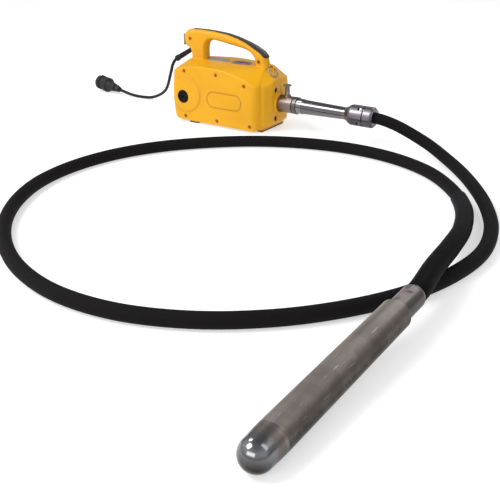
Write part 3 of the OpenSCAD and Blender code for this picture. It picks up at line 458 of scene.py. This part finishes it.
LOOKS = {
    "housing": moulding(
        "yellow_housing", (0.655, 0.322, 0.0035), (0.61, 0.288, 0.003), rough=(0.32, 0.44), dust=0.02,
        specular=0.26, grooves=(PILL_GROOVE, BRUSH_BOSS),
    ),
    "grip": rubber(
        "grip_rubber", (0.022, 0.020, 0.021), (0.05, 0.046, 0.048), rough=(0.36, 0.5), specular=0.5,
    ),
    "pad": rubber("pad_rubber", (0.10, 0.060, 0.030), (0.16, 0.11, 0.06)),
    "brown_screw": metal("brown_screws", (0.30, 0.085, 0.012), (0.16, 0.040, 0.006), (0.45, 0.6)),
    "dark_screw": metal("dark_screws", (0.03, 0.010, 0.008), (0.01, 0.005, 0.005), (0.4, 0.55)),
    "plate": metal("plate_metal", (0.44, 0.42, 0.45), (0.30, 0.28, 0.31), (0.36, 0.5), **X_LINES),
    "grille": moulding("grille_grey", (0.21, 0.20, 0.25), (0.13, 0.125, 0.16)),
    "wire": metal("ring_wire", (0.34, 0.27, 0.21), (0.18, 0.13, 0.10), (0.24, 0.38), stain=0.4),
    "switch": moulding("switch_grey", (0.24, 0.20, 0.17), (0.17, 0.14, 0.12)),
    "rocker": moulding("rocker_black", (0.03, 0.03, 0.032), (0.018, 0.018, 0.02), rough=(0.2, 0.3)),
    "black_rubber": rubber("boot_rubber", (0.009, 0.008, 0.008), (0.020, 0.019, 0.020), rough=(0.5, 0.66)),
    "plug_rubber": rubber(
        "plug_rubber", (0.012, 0.011, 0.012), (0.040, 0.038, 0.042), rough=(0.5, 0.66), specular=0.3,
    ),
    "pin": metal("plug_pins_metal", (0.50, 0.47, 0.42), (0.34, 0.31, 0.26), (0.18, 0.3)),
    "cap": moulding(
        "cap_black", (0.0035, 0.003, 0.003), (0.002, 0.002, 0.002), rough=(0.6, 0.72), specular=0.06,
    ),
    "insulation": moulding("brown_insulation", (0.17, 0.075, 0.022), (0.11, 0.05, 0.016)),
    "carbon": moulding("carbon", (0.012, 0.012, 0.013), (0.02, 0.02, 0.02), rough=(0.5, 0.6)),
    "spring": metal("spring_steel", (0.42, 0.42, 0.43), (0.3, 0.3, 0.3), (0.25, 0.38)),
    "lamination": metal(
        "laminated_steel", (0.14, 0.15, 0.17), (0.08, 0.08, 0.09), (0.4, 0.55), turned=0.0001, **X_RINGS,
    ),
    "copper": metal(
        "copper_wire", (0.58, 0.20, 0.07), (0.34, 0.10, 0.04), (0.3, 0.42), turned=0.0002, **X_LINES,
    ),
    "bearing": metal("bearing_steel", (0.55, 0.55, 0.56), (0.36, 0.36, 0.37), (0.15, 0.26), **X_RINGS),
    "cast": metal(
        "cast_alloy", (0.22, 0.17, 0.148), (0.12, 0.09, 0.078), (0.32, 0.46), pit=0.00012, rounding=0.0008,
    ),
    "steel": metal(
        "turned_steel", (0.40, 0.38, 0.38), (0.24, 0.22, 0.22), (0.26, 0.4), turned=0.00003, **X_RINGS,
    ),
    "pin_steel": metal("lock_pin_steel", (0.20, 0.175, 0.175), (0.10, 0.085, 0.085), (0.26, 0.4)),
    "dark_plastic": moulding("dark_plastic", (0.02, 0.02, 0.022), (0.012, 0.012, 0.013)),
    "tube": metal(
        "bright_tube", (0.18, 0.168, 0.178), (0.10, 0.09, 0.096), (0.09, 0.17), turned=0.00002, **X_LINES,
    ),
    # The coupling's underside is darkened with painted shade.
    "coupling": metal(
        "coupling_metal", (0.155, 0.14, 0.155), (0.068, 0.06, 0.068), (0.26, 0.4), turned=0.00003,
        stain=0.5, rounding=0.001, shaded_side=(COUPLING_SIDE_AWAY_FROM_LIGHT, (0.032, 0.029, 0.032)), **X_RINGS,
    ),
    "ring": metal(
        "flange_ring", (0.085, 0.092, 0.082), (0.05, 0.054, 0.046), (0.3, 0.42), rounding=0.0008, **X_RINGS,
    ),
    "hose": rubber(
        "hose_rubber", (0.0050, 0.0042, 0.0042), (0.009, 0.008, 0.008), rough=(0.7, 0.85), weave=0.00006,
        place="UV", specular=0.1,
    ),
    "cord": rubber(
        "cord_rubber", (0.008, 0.008, 0.009), (0.022, 0.021, 0.023), rough=(0.5, 0.65), place="UV",
    ),
    "sleeve": rubber(
        "sleeve_rubber", (0.010, 0.0095, 0.0115), (0.022, 0.021, 0.025), rough=(0.6, 0.75), weave=0.00008,
        place="UV", fade=((0.0015, 0.0012, 0.0012), 0.36), specular=0.05,
    ),
    "core": metal("core_wire", (0.14, 0.14, 0.14), (0.07, 0.06, 0.06), (0.35, 0.5)),
    # The poker's lower side is darkened with painted shade in dark brown.
    "poker": metal(
        "poker_steel", (0.265, 0.235, 0.215), (0.15, 0.122, 0.104), (0.34, 0.48), turned=0.00004, stain=0.6,
        pit=0.00006, rounding=0.001, scratch=(330, 11, 330), bands=(2, 22, 2), shaded_side=(SIDE_AWAY_FROM_LIGHT, PAINTED_SHADE_BROWN),
        **POKER_RINGS,
    ),
    # The nose's lower side is darkened with painted shade in dark brown.
    "nose": metal(
        "nose_steel", (0.22, 0.195, 0.18), (0.12, 0.10, 0.09), (0.3, 0.42), stain=0.6, rounding=0.001,
        shaded_side=(NOSE_SIDE_AWAY_FROM_LIGHT, PAINTED_SHADE_BROWN), polished=(TO_NOSE, 1.2415, 1.2525, (0.23, 0.235, 0.25)), **POKER_RINGS,
    ),
    # The connector's shaded side is darkened with painted shade.
    "connector": metal(
        "connector_steel", (0.205, 0.18, 0.18), (0.11, 0.092, 0.092), (0.32, 0.44), rounding=0.001,
        shaded_side=(SIDE_AWAY_FROM_LIGHT, (0.05, 0.04, 0.036)),
    ),
}
DRESS = {
    "housing_right": "housing", "housing_left": "housing", "grip_insert": "grip",
    "housing_screws": "brown_screw", "foot_pads": "pad", "name_plate": "plate",
    "vent_grille": "grille", "strap_ring": "wire", "switch_module": "switch",
    "switch_rocker": "rocker", "cord_boot": "black_rubber", "cord_clamp": "dark_plastic",
    "plug_body": "plug_rubber", "plug_pins": "pin", "brush_caps": "cap",
    "brush_holders": "insulation", "carbon_brushes": "carbon", "brush_springs": "spring",
    "stator_core": "lamination", "field_coils": "copper", "fan_baffle": "dark_plastic",
    "rear_bearing": "bearing", "front_bearing": "bearing", "drive_casting": "cast",
    "casting_screws": "dark_screw", "lock_bush": "pin_steel", "lock_pin": "pin_steel",
    "lock_spring": "spring", "armature_shaft": "steel", "armature_core": "lamination",
    "armature_winding": "copper", "commutator": "copper", "cooling_fan": "dark_plastic",
    "drive_dog": "steel", "core_spigot": "steel", "coupling_flange": "ring",
    "coupling_tube": "tube", "hose_bell": "coupling", "hose_clamp": "coupling",
    "clamp_bolts": "bearing", "hose_ferrule": "steel", "flex_core": "core",
    "rear_connector": "connector", "poker_tube": "poker", "nose_cap": "nose",
    "rear_bearings": "bearing", "nose_bearing": "bearing", "shaft_seal": "black_rubber",
    "eccentric_rotor": "steel", "core_end": "steel",
}


def dress(piece, look):
    piece.data.materials.clear()
    piece.data.materials.append(LOOKS[look])


for name, look in DRESS.items():
    dress(NODES[name], look)
for piece, look in ((hose, "hose"), (sleeve, "sleeve"), (cord, "cord")):
    dress(piece, look)

# ---------------------------------------------------------------- mouldings with soft edges
# Places on the housing, in millimetres: the arc of its side crest, and its screws, holes and drive line
CREST_X, CREST_Z, CREST_R = -160, 171, 400
AXIS_Z = 77
BRUSH_X = -244
SIDE_SCREWS = [
    (-239, 153), (-125, 153), (-28, 133), (-238, 19), (-123, 19), (-8, 19), (-268, 233), (-25, 190),
]
SNOUT_SCREWS = [(-21, 36), (-21, 118)]
VOXEL = 0.0011
SMOOTHING_PASSES = 26
KEPT_FACES = 0.3


def between(value, low, high):
    return (value > low) & (value < high)


def softness(co):
    """How freely each point of a housing half is smoothed: fully on broad edges, hardly on details."""
    x, y, z = co.T / MM
    side = np.abs(y)
    crest = CREST_Z - CREST_R + np.sqrt(np.maximum(CREST_R ** 2 - (x - CREST_X) ** 2, 0))
    seam = side < 4
    free = np.full(len(co), 0.25)
    # Crests, lower edges, and front and rear corners
    free[(side > 68) & ((np.abs(z - crest) < 12) | (z < 18) | (x > 6) | (x < -268))] = 1.0
    # Snout, clear of the socket's collar
    free[(x > 6) & (np.hypot(y, z - AXIS_Z) > 40)] = 1.0
    # Handle
    free[(z > 184) & (side > 5)] = 1.0
    # Pill-shaped groove
    free[(side > 80) & between(x, -165, -30) & between(z, 52, 109)] = 0.07
    free[seam] = np.minimum(free[seam], 0.12)
    # Seats of the name plate and the grille
    free[(side < 21) & between(z, 170, 180) & between(x, -222, -58)] = 0.1
    for screw_x, screw_z in SIDE_SCREWS:
        free[np.hypot(x - screw_x, z - screw_z) < 9] = 0.08
    # Brush port
    free[(np.hypot(x - BRUSH_X, z - AXIS_Z) < 23) & (side > 60)] = 0.1
    # Eye of the strap ring
    free[seam & between(x, 0, 18) & between(z, 163, 187)] = 0.05
    for screw_y, screw_z in SNOUT_SCREWS:
        free[(np.hypot(y - screw_y, z - screw_z) < 11) & (x > 14)] = 0.08
    return free[:, None]


def smooth(mesh, passes):
    """Draws each point of the mesh towards its neighbours, as freely as its softness allows."""
    co = np.empty(len(mesh.vertices) * 3)
    mesh.vertices.foreach_get("co", co)
    co = co.reshape(-1, 3)
    ends = np.empty(len(mesh.edges) * 2, int)
    mesh.edges.foreach_get("vertices", ends)
    a, b = ends.reshape(-1, 2).T
    neighbours = np.bincount(a, minlength=len(co)) + np.bincount(b, minlength=len(co))
    free = softness(co)
    for _ in range(passes):
        total = np.zeros_like(co)
        for axis in range(3):
            total[:, axis] = np.bincount(a, co[b, axis], len(co)) + np.bincount(b, co[a, axis], len(co))
        co += free * 0.5 * (total / np.maximum(neighbours, 1)[:, None] - co)
    mesh.vertices.foreach_set("co", co.ravel())


def apply_modifiers(piece):
    shape = piece.evaluated_get(bpy.context.evaluated_depsgraph_get())
    mesh = bpy.data.meshes.new_from_object(shape)
    piece.modifiers.clear()
    piece.data = mesh


def soft_moulding(node, name):
    """A housing half with blended edges, which stands for its CAD node."""
    data = NODES[node].data.copy()
    mesh = bmesh.new()
    mesh.from_mesh(data)
    bmesh.ops.remove_doubles(mesh, verts=mesh.verts, dist=2e-6)
    mesh.to_mesh(data)
    mesh.free()
    made = bpy.data.objects.new(name, data)
    bpy.context.scene.collection.objects.link(made)
    grid = made.modifiers.new("grid", "REMESH")
    grid.mode = "VOXEL"
    grid.voxel_size = VOXEL
    grid.use_smooth_shade = True
    apply_modifiers(made)
    smooth(made.data, SMOOTHING_PASSES)
    thin = made.modifiers.new("thin", "DECIMATE")
    thin.ratio = KEPT_FACES
    apply_modifiers(made)
    for polygon in made.data.polygons:
        polygon.use_smooth = True
    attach(made, "motor")
    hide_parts(node)
    dress(made, "housing")


soft_moulding("housing_right", "moulded_housing_right")
soft_moulding("housing_left", "moulded_housing_left")

# ---------------------------------------------------------------- floor and light
FLOOR_CORNERS = [(-12, -8, 0), (12, -8, 0), (12, 16, 0), (-12, 16, 0)]
FLOOR_DROP = 0.0004
ROOM_HEIGHTS = ((0.0, 0.75), (0.12, 0.8), (0.35, 1.0), (0.62, 0.9), (0.9, 0.4), (1.0, 0.35))
ROOM_DEPTH = (("From Min", -0.1), ("From Max", 0.6), ("To Min", 1.0), ("To Max", 0.4))

floor_data = bpy.data.meshes.new("floor")
floor_data.from_pydata(FLOOR_CORNERS, [], [(0, 1, 2, 3)])
floor = bpy.data.objects.new("floor", floor_data)
bpy.context.scene.collection.objects.link(floor)
floor.location.z = -FLOOR_DROP
pale = Look("pale_floor")
tone = pale.blend(pale.span(pale.noise(3, 3), 0.3, 0.7), (0.62, 0.62, 0.625), (0.60, 0.60, 0.605))
pale.finish(tone, 0.7, specular=0.1)
pale.surface.inputs["Emission Color"].default_value = (1, 1, 1, 1)
pale.surface.inputs["Emission Strength"].default_value = 0.48
floor_data.materials.append(pale.material)

# A studio room: dark overhead and behind the object, bright at mid height on the camera's side
world = bpy.data.worlds.new("studio")
bpy.context.scene.world = world
world.use_nodes = True
room = world.node_tree
way = room.nodes.new("ShaderNodeSeparateXYZ")
room.links.new(room.nodes.new("ShaderNodeTexCoord").outputs["Generated"], way.inputs[0])
height = room.nodes.new("ShaderNodeValToRGB")
stops = height.color_ramp.elements
for spot, light in ROOM_HEIGHTS:
    if spot in (0.0, 1.0):
        stop = stops[-1 if spot else 0]
    else:
        stop = stops.new(spot)
    stop.color = (light, light, light, 1)
room.links.new(way.outputs[2], height.inputs[0])
depth = room.nodes.new("ShaderNodeMapRange")
for key, number in ROOM_DEPTH:
    depth.inputs[key].default_value = number
room.links.new(way.outputs[1], depth.inputs["Value"])
room.links.new(height.outputs[0], room.nodes["Background"].inputs[0])
room.links.new(depth.outputs[0], room.nodes["Background"].inputs[1])


def softbox(name, at, towards, size, power):
    data = bpy.data.lights.new(name, "AREA")
    data.shape = "RECTANGLE"
    data.size, data.size_y = size
    data.energy = power
    made = bpy.data.objects.new(name, data)
    made.location = at
    made.rotation_mode = "QUATERNION"
    made.rotation_quaternion = (Vector(towards) - Vector(at)).to_track_quat("-Z", "Y")
    bpy.context.scene.collection.objects.link(made)


softbox("key", (-1.4, -2.6, 3.2), (0.1, -0.3, 0), (1.6, 1.6), 92)
softbox("crest", (-1.9, -0.2, 2.9), (-0.1, -0.1, 0.15), (0.9, 0.9), 26)
softbox("front", (0.4, -3.6, 1.3), (0.1, -0.3, 0.1), (2.4, 0.9), 26)
softbox("fill", (2.6, -0.2, 2.4), (0.2, -0.3, 0), (1.2, 2.0), 12)
softbox("rim", (0.6, 2.6, 2.2), (0.2, -0.3, 0), (3.0, 0.8), 22)

scene = bpy.context.scene
scene.view_settings.view_transform = "Standard"
scene.view_settings.look = "None"
